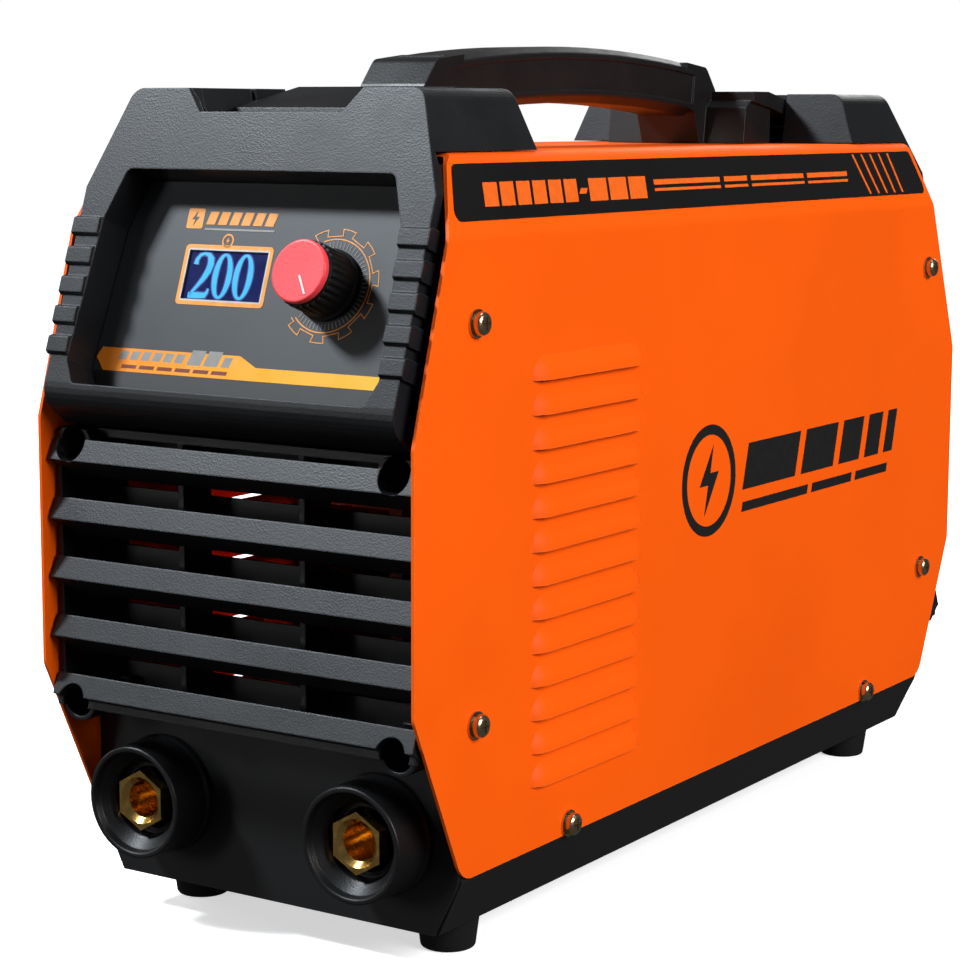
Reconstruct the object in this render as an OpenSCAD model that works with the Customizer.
// Stick welding inverter: portable single-phase arc welding power source.
// +X is the right side, -Y the front with the output sockets, +Z up.
// The origin is on the floor, midway between the front and rear hoods.

/* [Case] */
// Width over the two side panels of the cover
cover_w = 160; // [158:0.5:162]
// Thickness of the cover sheet
cover_t = 1.2; // [1:0.1:1.4]
// Height of the flat top deck
deck_z = 274.3; // [273:0.1:275]
// Height of the lower edge of the side panels
cover_bottom_z = 34.4; // [33:0.1:36]
// Height of the underside of the base pan
pan_z = 13.4; // [12:0.1:14]
// Thickness of the pan and of the end plates
plate_t = 1.5; // [1.2:0.1:1.8]

/* [Louvres] */
// Number of louvres on each side
louvre_count = 13; // [8:1:13]
// Height from one louvre to the next
louvre_pitch = 11.74; // [11.5:0.02:12]
// Length of a louvre
louvre_len = 74; // [60:1:80]
// How far a louvre stands out of the panel
louvre_out = 3.2; // [2.4:0.1:3.6]

/* [Hoods] */
// Height of the top edge of the hoods
hood_z = 295.3; // [294:0.1:296]
// Backward lean of the hood faces from vertical
face_tilt = 19.34; // [18.5:0.02:20]
// Depth of the control recess behind the hood face
recess_depth = 14; // [12:0.5:15]
// Pitch of the grille slats
slat_pitch = 21; // [20.5:0.1:21.2]

/* [Handle] */
// Width of the handle
handle_w = 28; // [24:1:30]
// Height of the crown of the handle
handle_z = 312.6; // [311:0.2:314]

/* [Controls] */
// Radius of the knob cap
knob_r = 10.8; // [10:0.1:12]
// Length of the knob with its cap
knob_len = 17.7; // [17:0.1:20]

/* [Output] */
// Distance from the middle to each output socket
socket_x = 47.3; // [45:0.1:48]
// Height of the output sockets
socket_z = 45.7; // [45:0.1:47]
// Radius of the plug bore
plug_r = 6.55; // [6.5:0.01:6.6]

/* [Fan] */
// Side of the square fan frame
fan_size = 80; // [76:1:84]

/* [Hidden] */
$fn = 48;
gap = 0.2;

half_w = cover_w / 2;
inner_w = half_w - cover_t;

// Side outline of the cover: front and rear edges differ a little.
mid_y = 215.3;
fold_z = 247.5;
edge_front = [[-187.5, cover_bottom_z], [-mid_y, 94], [-mid_y, 182],
    [-195.8, fold_z], [-185.6, 271.2], [-178, deck_z + 1]];
edge_rear = [[178.3, deck_z + 1], [188.5, fold_z], [mid_y, 182],
    [mid_y, 94], [186.5, cover_bottom_z]];
top_x = 71;

// Hood face: $face_y is the distance of its top edge from the middle, $lean its
// backward lean. The rear hood sets its own values for both.
front_face_y = 182.5;
rear_face_y = 174.5;
rear_tilt = 23.3;
$face_y = front_face_y;
$lean = face_tilt;
$notched = true;
hood_top_x = 61;
hood_slope = 0.381;
hood_side_x = 74;
hood_fold_z = hood_z - (hood_side_x - hood_top_x) / hood_slope;
hood_wall = 2.5;
hood_round = 6;
wall_y = 150;

// Point on or behind a hood face: x across, s down the slope from
// the top edge, d inward from the face.
function face_pt(x, s, d) = [x,
    -$face_y - s * sin($lean) + d * cos($lean),
    hood_z - s * cos($lean) - d * sin($lean)];

// Arc of points for one rounded corner of an outline.
function corner(p, a, b, r, n) =
    let (u = (a - p) / norm(a - p), v = (b - p) / norm(b - p),
        half = acos(u * v) / 2, m = (u + v) / norm(u + v),
        c = p + m * r / sin(half), t0 = p + u * r / tan(half),
        w0 = t0 - c, w1 = p + v * r / tan(half) - c,
        s = sign(w0[0] * w1[1] - w0[1] * w1[0]), sweep = 180 - 2 * half)
    [for (i = [0:n]) let (q = s * sweep * i / n)
        c + [w0[0] * cos(q) - w0[1] * sin(q), w0[0] * sin(q) + w0[1] * cos(q)]];

// Outline with each corner rounded to its own radius; 0 leaves it sharp.
function rounded(pts, radii, n = 6) = [for (i = [0:len(pts) - 1])
    let (k = len(pts), p = pts[i], a = pts[(i + k - 1) % k], b = pts[(i + 1) % k])
    each (radii[i] > 0 ? corner(p, a, b, radii[i], n) : [p])];

function mirrored(pts) = concat(pts,
    [for (i = [len(pts) - 1:-1:0]) [-pts[i][0], pts[i][1]]]);

// Prism along X of an outline in Y and Z, centred on the middle.
module along_x(w, x = 0)
    translate([x - w / 2, 0, 0]) rotate([90, 0, 90]) linear_extrude(w) children();

// Prism along Y of an outline in X and Z, from y0 to y1.
module along_y(y0, y1)
    translate([0, y1, 0]) rotate([90, 0, 0]) linear_extrude(y1 - y0) children();

module on_face(x, s, d)
    translate(face_pt(x, s, d)) rotate([90 - $lean, 0, 0]) children();

module to_rear() {
    $face_y = rear_face_y;
    $lean = rear_tilt;
    $notched = false;
    rotate([0, 0, 180]) children();
}

module both_sides() for (m = [0, 1]) mirror([m, 0, 0]) children();

module box(x0, x1, y0, y1, z0, z1)
    translate([x0, y0, z0]) cube([x1 - x0, y1 - y0, z1 - z0]);

module tube(r1, r2, h) difference() {
    cylinder(r = r1, h = h);
    translate([0, 0, -1]) cylinder(r = r2, h = h + 2);
}

// Pan-head machine screw along -Z: the underside of its head is at z = 0.
module pan_screw(d, len) difference() {
    union() {
        rotate_extrude() polygon(concat([[0, 0], [d, 0], [d, d * 0.22]],
            [for (a = [15:15:90]) [d * (0.55 + 0.45 * cos(a)), d * (0.22 + 0.36 * sin(a))]],
            [[0, d * 0.58]]));
        translate([0, 0, -len]) cylinder(r = d / 2, h = len + 0.2);
    }
    for (a = [0, 90]) rotate([0, 0, a])
        translate([-d * 0.52, -d * 0.1, d * 0.26]) cube([d * 1.04, d * 0.2, d]);
}

// ---- Case -----------------------------------------------------------------

module cover_section(inset) polygon(mirrored(rounded([
    [half_w - inset, 0], [half_w - inset, fold_z], [top_x - inset * 0.85, deck_z - inset],
    [0, deck_z - inset]], [0, 9, 5 - inset, 0])));

module cover_outline() polygon(rounded(concat(edge_front, edge_rear),
    [9, 5, 5, 6, 5, 0, 0, 6, 5, 5, 9]));

module louvre_body(r) {
    straight = louvre_len / 2 - 8;
    intersection() {
        translate([half_w - (12 - louvre_out), 0, 0]) {
            rotate([90, 0, 0]) cylinder(r = r, h = 2 * straight, center = true);
            for (s = [-1, 1]) translate([0, s * straight, 0]) sphere(r = r);
        }
        box(half_w - cover_t - 0.6, half_w + 6, -60, 60, 0, 12);
    }
}

module louvres(r) for (i = [0:louvre_count - 1])
    translate([0, -108.3, 56.9 + i * louvre_pitch]) louvre_body(r);

// Slits under the louvre lips
module louvre_slits() for (i = [0:louvre_count - 1])
    translate([half_w - 2, -108.3 - louvre_len / 2 + 4, 56.2 + i * louvre_pitch])
    cube([4, louvre_len - 8, 0.8]);

cover_screw_pts = [[-180, 219.6], [-180, 86.2], [183.6, 219.6], [183.6, 84.8],
    [-120.2, 38.4], [126.5, 38.4]];

module at_cover_screws() both_sides() for (p = cover_screw_pts)
    translate([half_w, p[0], p[1]]) rotate([0, 90, 0]) children();

module cover_shell() color("#f26a12") difference() {
    union() {
        intersection() {
            along_y(-mid_y, mid_y) difference() {
                cover_section(0);
                cover_section(cover_t);
            }
            along_x(cover_w + 2) cover_outline();
        }
        both_sides() louvres(12);
    }
    both_sides() louvres(12 - cover_t);
    both_sides() louvre_slits();
    at_cover_screws() cylinder(r = 2.2, h = 8, center = true);
    at_handle_screws() cylinder(r = 2.6, h = 8, center = true);
}

pan_low_x = 69.5;
pan_y = [-187.7, 187.7];

module pan_section(inset) polygon(mirrored([[inner_w - gap - inset, 47],
    [inner_w - gap - inset, cover_bottom_z - 1.4 + inset * 0.2],
    [pan_low_x - inset * 0.7, pan_z + inset], [0, pan_z + inset]]));

foot_pts = [for (x = [-55, 55], y = [-159, 160]) [x, y]];
standoff_pts = [for (x = [-60, 60], y = [-92, 20, 122]) [x, y]];

module base_pan() color("#1c1c1e") difference() {
    along_y(pan_y[0] + plate_t + gap, pan_y[1] - plate_t - gap) difference() {
        pan_section(0);
        pan_section(plate_t);
        translate([-100, 46.9]) square([200, 2]);
    }
    at_cover_screws() cylinder(r = 2.1, h = 12, center = true);
    for (p = foot_pts) translate([p[0], p[1], 0]) cylinder(r = 2.6, h = 40);
    for (p = standoff_pts) translate([p[0], p[1], 0]) cylinder(r = 1.7, h = 40);
    for (i = [0:9]) box(-30, 30, -90 + i * 20, -84 + i * 20, 0, 30);
}

// Sheet end plate in the front frame: outline in X and Z.
module end_plate(top) {
    along_y(pan_y[0], pan_y[0] + plate_t) polygon(mirrored(rounded([
        [pan_low_x - 1, pan_z], [inner_w - gap, 33.5], [inner_w - gap, top], [0, top]],
        [0, 14, 3, 0])));
    both_sides() box(inner_w - gap - plate_t, inner_w - gap, pan_y[0], -172, 48, top - 3);
}

module front_plate() color("#19191b") difference() {
    end_plate(184.5);
    for (x = [-socket_x, socket_x]) translate([x, pan_y[0] - 1, socket_z])
        rotate([-90, 0, 0]) cylinder(r = 13.2, h = 10);
    for (i = [1:4]) box(-66, 66, -190, -180, slat_z(i) + 9, slat_z(i) + 19);
    at_cover_screws() cylinder(r = 2.1, h = 12, center = true);
    at_grille_screws(front_screw_z) translate([0, 0, -20]) cylinder(r = 2.1, h = 40);
}

fan_z = 124;
gland_pos = [-46, 36];
earth_pos = [50, 34];

module rear_plate() color("#19191b") difference() {
    to_rear() end_plate(184.5);
    translate([0, 180, fan_z]) rotate([-90, 0, 0]) cylinder(r = fan_size / 2 - 2.5, h = 12);
    for (x = [-1, 1], z = [-1, 1]) translate([x * fan_hole, 180, fan_z + z * fan_hole])
        rotate([-90, 0, 0]) cylinder(r = 2.2, h = 12);
    translate([gland_pos[0], 180, gland_pos[1]]) rotate([-90, 0, 0]) cylinder(r = 10.1, h = 12);
    translate([earth_pos[0], 180, earth_pos[1]]) rotate([-90, 0, 0]) cylinder(r = 3.4, h = 12);
    at_cover_screws() cylinder(r = 2.1, h = 12, center = true);
    to_rear() at_grille_screws(rear_screw_z) translate([0, 0, -20]) cylinder(r = 2.1, h = 40);
}

// ---- Hoods ----------------------------------------------------------------

// Cross-section of a hood in X and Z, shrunk by a wall.
module hood_section(t) polygon(mirrored(rounded([[hood_side_x - t, 150],
    [hood_side_x - t, hood_fold_z - t * 0.3],
    [hood_top_x - t, hood_z - t * 0.8], [0, hood_z - t * 0.8]], [0, 0, hood_round - t, 0])));

function face_yz(s, d) = [face_pt(0, s, d)[1], face_pt(0, s, d)[2]];
function s_at(z) = (hood_z - z) / cos($lean);

chin_z = 188.5;
rim_d = 32;

// Side outline of the hood body in front of the cover, with its chin.
module hood_front_outline() polygon(rounded([
    face_yz(0, 0), face_yz(s_at(chin_z), 0), [-207.5, 179.5], [-199, 178],
    face_yz(s_at(196), rim_d), [12 - $face_y, deck_z - cover_t - 2.5],
    [-$face_y - 4.9, deck_z - cover_t - 2.5], [-$face_y - 4.9, deck_z + 0.3],
    [-wall_y, deck_z + 0.3], [-wall_y, hood_z]], [0, 9, 5, 0, 0, 0, 0, 0, 0, 0]));

module hood_front_hollow() polygon([
    face_yz(3.5, hood_wall), face_yz(s_at(chin_z) - 2.5, hood_wall), [-204, 182.5],
    [-150, 182.5], [-150, 272], [-$face_y - 1.9, 272], [-$face_y - 1.9, deck_z + 3],
    [-wall_y - hood_wall, deck_z + 3], [-wall_y - hood_wall, hood_z - 2.5]]);

// Hollow blocks that carry the hood sides back along the deck, open below
channel_x = 36;
module fin_block(t) intersection() {
    along_x(200) polygon([[-wall_y - 1 - t, hood_z - t], [-130 - t, hood_z - t],
        [-125.7 - t, deck_z + 0.3 - t], [-wall_y - 1 - t, deck_z + 0.3 - t]]);
    box(channel_x + t, 90, -wall_y - 1 - t, -120, deck_z - 10, hood_z + 10);
    along_y(-wall_y - 4, -120) hood_section(t);
}

module hood_fins() both_sides() difference() {
    fin_block(0);
    fin_block(hood_wall);
}

rib_x = 75.4;
// Blocks of the grip ribs down the slanted sides of a hood.
module hood_ribs() for (i = [0:4], m = [-1, 1]) {
    z = 251 - i * 10.1;
    x_in = 63.6 + (251 - z) * 0.065;
    on_face(m * (x_in + rib_x) / 2, s_at(z), 0) rotate([90, 0, 90])
        linear_extrude(rib_x - x_in, center = true)
        polygon([[0, -9], [0, 0], [-0.9, 1.4], [-6.2, 1.4], [-7.1, 0], [-7.1, -9]]);
}

// Valley across the top of a hood, where the end of the handle lies. It is open
// through the face where $notched is true.
channel_z = 281;
module hood_channel() {
    rim = $notched ? 1.5 : 5;
    along_y(-$face_y + rim, -wall_y + 3) polygon(mirrored([[35.2, channel_z + 4],
        [38.8, hood_z + 2]]));
    along_y(-$face_y + rim + 6.5, -wall_y + 3) polygon(mirrored([[channel_x, channel_z],
        [38.8, hood_z + 2]]));
    if ($notched) along_y(-$face_y - 30, -$face_y + 10)
        polygon(mirrored([[30.2, 287.2], [38.8, hood_z + 2]]));
}

// Body shared by the front and the rear hood, in the front frame.
module hood_body() difference() {
    union() {
        intersection() {
            along_y(-230, -120) hood_section(0);
            difference() {
                along_x(200) hood_front_outline();
                intersection() {
                    along_x(200) hood_front_hollow();
                    along_y(-230, -120) hood_section(hood_wall);
                }
            }
        }
        hood_fins();
        hood_ribs();
        // Trough under the channel
        along_y(-$face_y + 1, -wall_y) polygon(mirrored([[41, channel_z - 2.5],
            [47, hood_z - 0.5]]));
        // Side tabs that the cover screws reach
        both_sides() box(hood_side_x - 3, inner_w - gap, -187, -173.5, 212, 227);
    }
    hood_channel();
}

recess_pts = [[56.6, -29.25], [63.1, -47.5], [66.2, -98], [61.8, -106.5]];

module recess_shape(grow) polygon(rounded(mirrored(
    [for (p = recess_pts) p + [grow, p == recess_pts[0] ? grow : p == recess_pts[3] ? -grow : 0]]),
    [3, 4, 3, 2, 2, 3, 4, 3]));

knob_x = 29.2;
knob_s = 64.2;
disp_x = -15.9;
disp_s = 62.5;
disp_size = [35.2, 18.4];

module front_bezel() color("#2a2b2e") difference() {
    union() {
        hood_body();
        intersection() {
            on_face(0, 0, 0) translate([0, 0, -recess_depth - 3]) linear_extrude(recess_depth + 2)
                recess_shape(2.5);
            along_y(-230, -120) hood_section(0.5);
        }
    }
    on_face(0, 0, 0) translate([0, 0, -recess_depth]) linear_extrude(60) recess_shape(0);
    on_face(knob_x, knob_s, recess_depth) translate([0, 0, -10]) cylinder(r = 3.75, h = 20);
    on_face(disp_x, disp_s, recess_depth) cube([disp_size[0], disp_size[1], 20], center = true);
    at_cover_screws() cylinder(r = 2.1, h = 24, center = true);
}

rear_switch_s = 62;
switch_cut = [28.6, 21.8];

module rear_bezel() color("#2a2b2e") difference() {
    to_rear() hood_body();
    to_rear() on_face(0, rear_switch_s, 0)
        cube([switch_cut[0], switch_cut[1], 40], center = true);
    at_cover_screws() cylinder(r = 2.1, h = 24, center = true);
}

// ---- Grilles --------------------------------------------------------------

slat_x = 77.6;
front_screw_z = [172.4, 80.9];
rear_screw_z = [172.4, 59.9];
function slat_z(i) = 166.9 - i * slat_pitch;

module slat_shape() polygon([[-213.4, 0], [-210, 7.3], [-207.8, 6.5], [-210.4, 1.2],
    [-203.5, -4.4], [-204.8, -6.2], [-212, -0.6]]);

module at_grille_screws(zs) for (x = [-69, 69], z = zs)
    translate([x, -200, z]) rotate([90, 0, 0]) children();

module grille_web(front, last) polygon([[front, 176.5], [front + 2, 177.6], [-188.2, 177.6],
    [-188.2, last - 1], [front + 2.2, last - 1], [front, last + 2]]);

// Slatted guard in the front frame with the given number of slats.
module grille(count, zs) difference() {
    union() {
        for (i = [0:count - 1]) translate([0, 0, slat_z(i)]) along_x(2 * slat_x) slat_shape();
        last = slat_z(count - 1);
        along_x(2 * slat_x - 1) polygon([[-210.6, last + 1], [-211.2, last - 4.2],
            [-209, last - 4.6], [-207.5, last - 1]]);
        // Side frames and inner webs
        for (x = [-76.4, 76.4]) along_x(2.4, x) grille_web(-209.2, last);
        for (x = [-26, 26]) along_x(2.4, x) grille_web(-203, last);
        box(-slat_x, slat_x, -203, -188.2, 174.6, 177.6);
        intersection() {
            at_grille_screws(zs) translate([0, 0, -11.8]) cylinder(r = 7.6, h = 21);
            box(-90, 90, -230, -180, 0, 177.6);
        }
        // Strips that join the bosses to the frames
        for (s = [-1, 1], z = zs) box(min(s * 60, s * 77), max(s * 60, s * 77), -193, -188.2,
            z - 6, min(z + 6, 177.6));
    }
    at_grille_screws(zs) {
        translate([0, 0, -3]) cylinder(r = 6.1, h = 40);
        translate([0, 0, -30]) cylinder(r = 2.2, h = 60);
    }
}

module front_grille() color("#26272a") grille(5, front_screw_z);
module rear_grille() color("#26272a") to_rear() grille(6, rear_screw_z);

module front_grille_screws() color("#2f2f31")
    at_grille_screws(front_screw_z) translate([0, 0, -3]) pan_screw(4, 14);
module rear_grille_screws() color("#2f2f31")
    to_rear() at_grille_screws(rear_screw_z) translate([0, 0, -3]) pan_screw(4, 14);

// ---- Handle ---------------------------------------------------------------

// The handle is symmetric about handle_y
handle_y = -4.3;
arch_r = 823;
arch_angle = 6.4;
grip_t = 21.6;

// Cross-section of the grip: x is radius from the arch centre, y across.
module grip_section() polygon(rounded([[arch_r, -handle_w / 2 + 4],
    [arch_r, handle_w / 2 - 4], [arch_r - 2.4, handle_w / 2],
    [arch_r - grip_t + 3, handle_w / 2], [arch_r - grip_t, handle_w / 2 - 4.5],
    [arch_r - grip_t, -handle_w / 2 + 4.5], [arch_r - grip_t + 3, -handle_w / 2],
    [arch_r - 2.4, -handle_w / 2]], [1, 1, 1, 1, 1, 1, 1, 1], 3));

// One end of the handle, with Y from the middle of the handle
module handle_end() {
    along_x(handle_w) polygon(rounded([[-84, handle_z - 4.5], [-101.4, handle_z - 6.4],
        [-109.4, 297], [-112, 290], [-112.7, deck_z + 0.2], [-96, deck_z + 0.2], [-91, 288],
        [-84, 289.5]], [0, 5, 3, 0, 0, 0, 3, 0]));
    // Wide foot on the deck
    along_x(66) polygon([[-101.5, 289.5], [-99.5, deck_z + 0.2], [-124, deck_z + 0.2],
        [-124, 289.6], [-106, 292.6]]);
    // Tongue that lies in the valley of the hood
    along_x(69) polygon([[-105.7, 296.2], [-119.5, 296.2], [-157, 288.7], [-157.6, 286.8],
        [-165.8, 285.2], [-165.8, 281.6], [-146, 284], [-124, 289], [-105.7, 292]]);
}

module at_handle_screws() for (x = [-22, 22], s = [-1, 1])
    translate([x, handle_y + s * 113, deck_z]) children();

module handle() color("#222224") difference() {
    translate([0, handle_y, 0]) {
        translate([0, 0, handle_z - arch_r]) rotate([0, -90, 0])
            rotate([0, 0, -arch_angle]) rotate_extrude(angle = 2 * arch_angle, $fn = 360)
            grip_section();
        for (m = [0, 1]) mirror([0, m, 0]) handle_end();
    }
    // Shallow inset panels along both sides of the grip
    for (s = [-1, 1]) translate([s * (handle_w / 2 - 0.8), handle_y, handle_z - arch_r])
        rotate([0, s > 0 ? 90 : -90, 0]) rotate([0, 0, s > 0 ? 180 - arch_angle : -arch_angle])
        rotate_extrude(angle = 2 * arch_angle, $fn = 360)
        translate([arch_r - 16.6, 0]) square([12, 2]);
    at_handle_screws() cylinder(r = 2.1, h = 14);
}

module handle_screws() color("#2f2f31") at_handle_screws()
    translate([0, 0, -cover_t]) rotate([180, 0, 0]) pan_screw(4, 14);

// ---- Feet and fasteners ----------------------------------------------------

module rubber_feet() color("#151515") for (p = foot_pts) translate([p[0], p[1], 0])
    rotate_extrude() polygon(rounded([[5.2, 0], [9.6, 0], [11.4, pan_z], [2.7, pan_z],
        [2.7, 6], [5.2, 6]], [0, 1.2, 0.8, 0, 0, 0], 4));

module foot_screws() color("#8d8d90") for (p = foot_pts) translate([p[0], p[1], 6])
    rotate([180, 0, 0]) intersection() {
        pan_screw(4.6, 14);
        cylinder(r = 4.7, h = 60, center = true);
    }

module cover_screws() color("#c9a452") at_cover_screws()
    translate([0, 0, 1.84]) pan_screw(4, 10);

// Flat washer with a split spring washer on it
module cover_washers() color("#c9a452") at_cover_screws() {
    tube(4.8, 2.2, 0.8);
    translate([0, 0, 0.82]) difference() {
        tube(3.7, 2.2, 1);
        rotate([0, 0, 200]) translate([2, -0.3, -1]) cube([3, 0.6, 4]);
    }
}

// Black vinyl strips along the slanted shoulders of the cover
decal_t = 0.2;
module side_decals() color("#141414") both_sides() intersection() {
    along_y(-190, 182) polygon([[half_w + (252.5 - fold_z) * -0.3358, 252.5],
        [half_w + (270.8 - fold_z) * -0.3358, 270.8],
        [half_w + (270.8 - fold_z) * -0.3358 + decal_t, 270.8],
        [half_w + (252.5 - fold_z) * -0.3358 + decal_t, 252.5]]);
    along_x(200) polygon(rounded([[-190.3, 252.5], [-183.3, 270.8], [176.5, 270.8],
        [183.6, 252.5]], [3, 3, 3, 3]));
}

// ---- Control panel ----------------------------------------------------------

overlay_t = 0.6;

module panel_overlay() color("#303236") difference() {
    on_face(0, 0, recess_depth) linear_extrude(overlay_t) intersection() {
        recess_shape(-0.4);
        translate([-80, -105.5]) square([160, 105]);
    }
    on_face(knob_x, knob_s, recess_depth) translate([0, 0, -5]) cylinder(r = 6.2, h = 20);
    on_face(disp_x, disp_s, recess_depth)
        cube([disp_size[0] - 1.2, disp_size[1] - 1.2, 20], center = true);
}

module display_lens() color("#10184a") on_face(disp_x, disp_s, recess_depth)
    translate([0, 0, -1.5 - 0.05]) linear_extrude(1.5)
    square([disp_size[0] - 0.2, disp_size[1] - 0.2], center = true);

module display_module() color("#1b2a5a") on_face(disp_x, disp_s, recess_depth) {
    translate([0, 0, -1.6 - 6]) linear_extrude(6)
        square([disp_size[0] - 2.4, disp_size[1] - 2.4], center = true);
}

cap_t = 2.2;
body_len = knob_len - cap_t;
module knob_body() color("#151517") on_face(knob_x, knob_s, recess_depth - overlay_t - 0.4)
    difference() {
        union() {
            rotate_extrude() polygon([[0, 0], [knob_r + 1.6, 0], [knob_r + 1.6, 1.6],
                [knob_r + 0.8, 2.2], [knob_r - 0.2, body_len], [0, body_len]]);
            for (a = [0:12:348]) rotate([0, 0, a])
                translate([knob_r, 0, 2]) cylinder(r = 0.75, h = body_len - 3.4, $fn = 16);
        }
        translate([0, 0, -1]) cylinder(r = 3.01, h = 10);
        translate([0, 0, -1]) cylinder(r = 9.2, h = 4);
    }

module knob_cap() color("#e23b4b") on_face(knob_x, knob_s, recess_depth - overlay_t - 0.4)
    translate([0, 0, body_len]) difference() {
        rotate_extrude() polygon(rounded([[0, 0], [knob_r, 0], [knob_r, cap_t], [0, cap_t]],
            [0, 0.2, 0.7, 0]));
        // Groove of the pointer
        rotate([0, 0, 30]) translate([-0.35, 1.8 - knob_r, cap_t - 0.4]) cube([0.7, 7.2, 2]);
    }

module pot_shaft() color("#b9bbbe") on_face(knob_x, knob_s, recess_depth - overlay_t - 0.4)
    translate([0, 0, -15.8]) cylinder(r = 3, h = 24.6);

module pot_body() color("#6f7174") on_face(knob_x, knob_s, recess_depth + 3) {
    translate([0, 0, -0.2]) difference() {
        union() {
            translate([0, 0, -9]) cylinder(r = 8.2, h = 9);
            translate([0, 0, -13]) cylinder(r = 7.2, h = 4.2);
            cylinder(r = 3.65, h = 5.2);
            for (x = [-5, 0, 5]) translate([x - 0.8, -13, -8.2]) cube([1.6, 6, 0.8]);
        }
        translate([0, 0, -12]) cylinder(r = 3.05, h = 30);
    }
}

module pot_nut() color("#b9bbbe") on_face(knob_x, knob_s, recess_depth + 3)
    translate([0, 0, 3.05]) difference() {
        cylinder(r = 5.8, h = 1.6, $fn = 6);
        translate([0, 0, -1]) cylinder(r = 3.67, h = 4);
    }

board_posts = [[-52, 50], [52, 46], [-52, 92], [52, 92]];

module control_board() color("#14603a") difference() {
    on_face(0, 0, recess_depth + 3 + 5.2) translate([-58, -98, -1.6]) cube([116, 56, 1.6]);
    on_face(knob_x, knob_s, recess_depth) cylinder(r = 8.5, h = 60, center = true);
    on_face(disp_x, disp_s, recess_depth)
        cube([disp_size[0] - 2, disp_size[1] - 2, 60], center = true);
    for (p = board_posts) on_face(p[0], p[1], 20) cylinder(r = 1.6, h = 20, center = true);
}

module control_board_screws() color("#b9bbbe") for (p = board_posts) {
    on_face(p[0], p[1], recess_depth + 3 + 5.2) rotate([180, 0, 0])
        translate([0, 0, 1.65]) pan_screw(3, 5);
    on_face(p[0], p[1], recess_depth + 3 + 5.2) tube(2.8, 1.52, 5.1);
}

// ---- Output sockets -----------------------------------------------------------

module at_socket(side) translate([side * socket_x, pan_y[0], socket_z])
    rotate([90, 0, 0]) children();

ring_r = 20.6;
ring_len = 18.6;
hex_af = 19;

module socket_housing(side) at_socket(side) difference() {
    union() {
        rotate_extrude() polygon(rounded([[9, 0], [ring_r + 0.6, 0], [ring_r + 0.6, 2],
            [ring_r, 3.4], [ring_r - 0.5, ring_len], [ring_r - 2.4, ring_len],
            [ring_r - 3.2, ring_len - 2.4], [13.6, ring_len - 6.5], [13.2, ring_len - 10],
            [9, ring_len - 10]], [0, 0.6, 0, 0, 0.6, 0.6, 0, 1, 0, 0], 4));
        translate([0, 0, -8]) cylinder(r = 13, h = 8.2);
    }
    translate([0, 0, -10]) cylinder(r = hex_af / sqrt(3) + 0.15, h = 40);
}

module socket_housing_negative() color("#161618") socket_housing(-1);
module socket_housing_positive() color("#161618") socket_housing(1);

module brass_socket(side) at_socket(side) difference() {
    union() {
        translate([0, 0, -6]) rotate([0, 0, 90])
            cylinder(r = hex_af / sqrt(3), h = ring_len + 6 - 3.8, $fn = 6);
        translate([0, 0, -8]) cylinder(r = 9, h = 4);
        translate([0, 0, -22]) cylinder(r = 5, h = 16);
    }
    translate([0, 0, -6.5]) cylinder(r = plug_r, h = 60);
    translate([0, 0, ring_len - 3.8 - 1.9]) cylinder(r1 = plug_r, r2 = plug_r + 1.9, h = 1.92);
    // Keyway for the cam of the plug
    rotate([0, 0, 90]) translate([0, -1.8, -2]) cube([8.1, 3.6, 40]);
}

module brass_socket_negative() color("#d3a437") brass_socket(-1);
module brass_socket_positive() color("#d3a437") brass_socket(1);

module socket_nuts() color("#d3a437") for (side = [-1, 1]) at_socket(side)
    translate([0, 0, -15.4]) difference() {
        cylinder(r = 9.2, h = 5, $fn = 6);
        translate([0, 0, -1]) cylinder(r = 5.02, h = 10);
    }

// ---- Fan, switch and inlets -----------------------------------------------------

fan_depth = 25;
fan_hole = fan_size / 2 - 4.25;
fan_y = pan_y[1] - plate_t - 0.1;

module at_fan() translate([0, fan_y - fan_depth, fan_z]) rotate([-90, 0, 0]) children();

module fan_frame() color("#1a1a1b") at_fan() {
    difference() {
        linear_extrude(fan_depth) difference() {
            square(fan_size, center = true);
            circle(r = fan_size / 2 - 2.2);
        }
        difference() {
            translate([0, 0, 4]) cylinder(r = fan_size, h = fan_depth - 8);
            cylinder(r = fan_size / 2 - 0.8, h = 60);
        }
        for (x = [-1, 1], y = [-1, 1]) translate([x * fan_hole, y * fan_hole, -1])
            cylinder(r = 2.2, h = 40);
    }
    // Motor carrier on three spokes
    tube(17, 1.55, 2.5);
    for (a = [90:120:330]) rotate([0, 0, a])
        translate([16, -2, 0]) cube([fan_size / 2 - 2.2 - 15.8, 4, 2.5]);
    tube(4, 1.55, 12);
}

blade_count = 7;
module fan_rotor() color("#101011") at_fan() {
    difference() {
        translate([0, 0, 3.2]) cylinder(r = 16, h = fan_depth - 4.2);
        translate([0, 0, 2]) cylinder(r = 14, h = 14);
    }
    translate([0, 0, 0.4]) cylinder(r = 1.5, h = 18);
    for (i = [0:blade_count - 1]) rotate([0, 0, i * 360 / blade_count]) hull() {
        translate([15.2, -7, 5]) cube([1, 2, 1.4]);
        translate([34.4, -11, 5]) cube([0.8, 2, 1.4]);
        translate([15.2, 6, 21]) cube([1, 2, 1.4]);
        translate([34.4, 8, 21]) cube([0.8, 2, 1.4]);
    }
}

module fan_screws() color("#8d8d90") at_fan() for (x = [-1, 1], y = [-1, 1])
    translate([x * fan_hole, y * fan_hole, 0]) rotate([180, 0, 0]) pan_screw(4, 32);

module on_switch() to_rear() on_face(0, rear_switch_s, 0) children();

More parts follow.
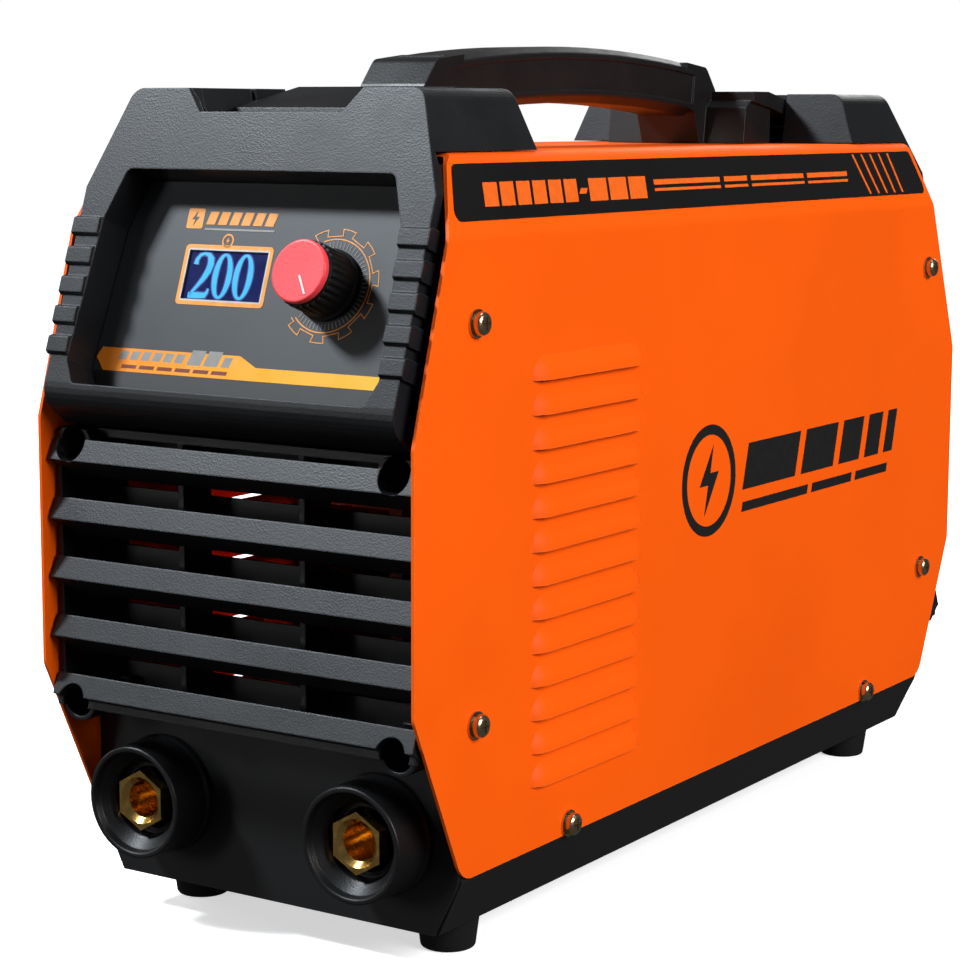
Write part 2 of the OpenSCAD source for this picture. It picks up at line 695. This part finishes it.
rocker_drop = 11;
module switch_housing() color("#141415") on_switch() difference() {
    union() {
        translate([-15.6, -12.4, 0]) cube([31.2, 24.8, 2]);
        translate([-14, -10.7, -26]) cube([28, 21.4, 26.1]);
        for (x = [-8, 0, 8], y = [-4, 4]) translate([x - 0.4, y - 3, -34]) cube([0.8, 6, 8.2]);
    }
    translate([-12.2, -9.4, -20]) cube([24.4, 18.8, 40]);
    translate([0, 0, -rocker_drop]) rotate([0, 90, 0]) cylinder(r = 1.25, h = 27, center = true);
}

rocker_tilt = 8;
module switch_rocker() color("#c22323") on_switch() translate([0, 0, -rocker_drop]) {
    rotate([rocker_tilt, 0, 0]) intersection() {
        union() {
            translate([-11.8, -6.9, -3]) cube([23.6, 13.8, rocker_drop + 5]);
            rotate([0, 90, 0]) cylinder(r = 1.2, h = 26.4, center = true);
        }
        difference() {
            cube(60, center = true);
            translate([0, 0, 36.5]) rotate([0, 90, 0]) cylinder(r = 24, h = 60, center = true);
        }
    }
}

module at_gland() translate([gland_pos[0], pan_y[1], gland_pos[1]]) rotate([-90, 0, 0]) children();

module cable_gland() color("#1d1d1f") at_gland() difference() {
    union() {
        translate([0, 0, -12]) cylinder(r = 9.9, h = 12.1);
        cylinder(r = 13.4, h = 5, $fn = 6);
        translate([0, 0, 4.9]) cylinder(r = 10.6, h = 2);
        translate([0, 0, 6.8]) rotate_extrude() polygon(rounded([[0, 0], [12.6, 0], [12.6, 9],
            [8.6, 15], [0, 15]], [0, 0.6, 2, 2, 0], 4));
    }
    translate([0, 0, -20]) cylinder(r = 5.2, h = 60);
    for (a = [0:30:330]) rotate([0, 0, a]) translate([13.1, -1, 6.8]) cube([2, 2, 8]);
}

module gland_nut() color("#1d1d1f") at_gland() translate([0, 0, -plate_t - 5.1]) difference() {
    cylinder(r = 13.2, h = 5, $fn = 6);
    translate([0, 0, -1]) cylinder(r = 9.95, h = 10);
}

module at_earth() translate([earth_pos[0], pan_y[1], earth_pos[1]]) rotate([-90, 0, 0]) children();

module earth_stud() color("#c9a452") at_earth() {
    translate([0, 0, -plate_t - 4.1]) cylinder(r = 5.6, h = 4, $fn = 6);
    translate([0, 0, -plate_t - 0.5]) cylinder(r = 3.3, h = plate_t + 6.9);
    translate([0, 0, 6.3]) cylinder(r = 3, h = 13.2);
}

module earth_nuts() color("#c9a452") at_earth() {
    translate([0, 0, 0.05]) tube(6.2, 3.35, 1.2);
    translate([0, 0, 1.3]) difference() {
        cylinder(r = 5.7, h = 5, $fn = 6);
        translate([0, 0, -1]) cylinder(r = 3.35, h = 10);
    }
}

// ---- Power electronics -------------------------------------------------------------

board_z = 50;
board_t = 1.6;
board_top = board_z + board_t;

module main_board() color("#1a6b3c") difference() {
    box(-68, 68, -100, 130, board_z, board_top);
    for (p = standoff_pts) translate([p[0], p[1], 40]) cylinder(r = 1.7, h = 30);
}

module board_standoffs() color("#c8b060") for (p = standoff_pts) translate([p[0], p[1], 0]) {
    translate([0, 0, pan_z + plate_t + 0.05]) cylinder(r = 3.4, h = board_z - pan_z - plate_t - 0.1, $fn = 6);
    translate([0, 0, board_top + 0.05]) pan_screw(3, 5);
    translate([0, 0, pan_z - 0.05]) rotate([180, 0, 0]) pan_screw(3, 5);
}

sink_x = 40;
module heatsinks() color("#b4b8bc") for (s = [-1, 1], y0 = [-84, -4])
    translate([s * sink_x, y0, board_top + 6]) {
        translate([-s * 20 - 3, 0, 0]) cube([6, 68, 84]);
        for (k = [0:8]) translate([min(-s * 17.2, s * 18), 0, 2 + k * 9.6]) cube([35.2, 68, 2.2]);
    }

module power_transistors() color("#161617") for (s = [-1, 1], y0 = [-78, -56, -34, 2, 24, 46])
    translate([s * (sink_x - 20 - 3 - 2.6), y0, board_top + 16]) {
        translate([-2.5, 0, 0]) cube([5, 15.6, 20]);
        for (k = [-1, 0, 1]) translate([-0.4, 7.2 + k * 5, -15.8]) cube([0.8, 1.2, 16]);
    }

// Transformer and choke stand on the pan in front of the main board
pan_top = pan_z + plate_t;
wound_y = -134;

module at_transformer() translate([-14, wound_y, pan_top + 30]) children();
module at_choke() translate([36, wound_y, pan_top + 13.3]) children();

module transformer_core() color("#4a4b4e") at_transformer() difference() {
    translate([-20, -17, -30]) cube([40, 34, 60]);
    for (x = [-15.6, 6.4]) translate([x, -30, -22]) cube([9.2, 60, 44]);
}

module transformer_winding() color("#b06a2a") at_transformer() difference() {
    translate([-15.2, -26, -20]) cube([30.4, 52, 40]);
    translate([-6.6, -17.2, -40]) cube([13.2, 34.4, 80]);
}

module choke_core() color("#3c3f43") at_choke() translate([0, 0, -11]) tube(25, 14, 22);

module choke_winding() color("#c0742e") at_choke() for (i = [0:17])
    rotate([0, 0, 18 + i * 18]) translate([19.5, 0, 0]) difference() {
        cube([15.4, 3, 26.4], center = true);
        cube([11.2, 4, 22.2], center = true);
    }

module bus_capacitors() color("#22304e") for (x = [-50, -18, 18, 50])
    translate([x, 104, board_top + 0.1]) rotate_extrude() polygon(rounded([[0, 0], [14.6, 0],
        [14.6, 44], [13, 44], [12.6, 43], [0, 43]], [0, 1, 1, 0.4, 0.4, 0], 4));

module rectifier_bridge() color("#202022") translate([0, 75.7, board_top + 0.1])
    difference() {
        translate([-14, -14, 0]) cube([28, 28, 9]);
        translate([0, 0, -1]) cylinder(r = 2.4, h = 20);
    }

bar_y = pan_y[0] + 8.2;
bar_z = board_top + 10;
module output_busbars() color("#c77a3a") for (s = [-1, 1]) difference() {
    translate([s * socket_x - 8, 0, 0]) {
        translate([0, bar_y, socket_z - 9]) cube([16, 2, bar_z + 2 - socket_z + 9]);
        translate([0, bar_y, bar_z]) cube([16, -88 - bar_y, 2]);
        translate([0, -90, board_top + 0.1]) cube([16, 2, 11.9]);
    }
    at_socket(s) translate([0, 0, -30]) cylinder(r = 5.1, h = 25);
}

base_pan();
cover_shell();
front_plate();
rear_plate();
front_bezel();
front_grille();
rear_bezel();
rear_grille();
handle();
handle_screws();
rubber_feet();
foot_screws();
cover_screws();
cover_washers();
front_grille_screws();
rear_grille_screws();
side_decals();
panel_overlay();
display_lens();
display_module();
knob_body();
knob_cap();
pot_shaft();
pot_body();
pot_nut();
control_board();
control_board_screws();
socket_housing_negative();
socket_housing_positive();
brass_socket_negative();
brass_socket_positive();
socket_nuts();
fan_frame();
fan_rotor();
fan_screws();
switch_housing();
switch_rocker();
cable_gland();
gland_nut();
earth_stud();
earth_nuts();
main_board();
board_standoffs();
heatsinks();
power_transistors();
transformer_core();
transformer_winding();
choke_core();
choke_winding();
bus_capacitors();
rectifier_bridge();
output_busbars();
